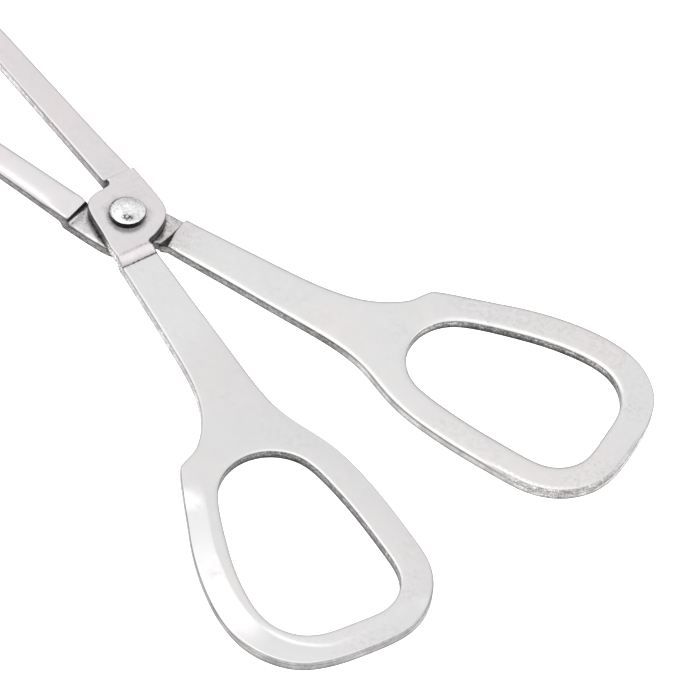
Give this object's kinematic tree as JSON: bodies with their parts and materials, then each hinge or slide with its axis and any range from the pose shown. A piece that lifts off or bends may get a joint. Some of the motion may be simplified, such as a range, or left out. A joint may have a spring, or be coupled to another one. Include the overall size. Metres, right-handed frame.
{
  "type": "crucible tongs",
  "caption": "Long scissor-action steel tongs with finger loops, a riveted pivot and bowed, bent-down jaws for lifting hot crucibles.",
  "frame": {"origin": "on the pivot axis, in the plane where the two pivot plates meet", "axes": "+X towards the jaw tips along the line that halves the opening, +Z along the pivot axis towards the rivet's domed head, so the jaws bend down towards -Z and the upper lever's finger loop is at -X, +Y"},
  "size_m": [0.3013, 0.1156, 0.0354],
  "materials": {
    "lever_steel": "polished, lightly tumbled, fine shear marks on the edges",
    "rivet_steel": "bright polished, slightly hammered"
  },
  "bodies": {
    "lower_body": {"lower_lever": "lever_steel", "pivot_rivet": "rivet_steel"},
    "upper_body": {"upper_lever": "lever_steel"}
  },
  "joints": [
    {"name": "pivot_hinge", "type": "hinge", "parent": "lower_body", "child": "upper_body", "pos_m": [0, 0, 0], "axis": [0, 0, 1], "range_deg": [-74, 11.4]}
  ]
}
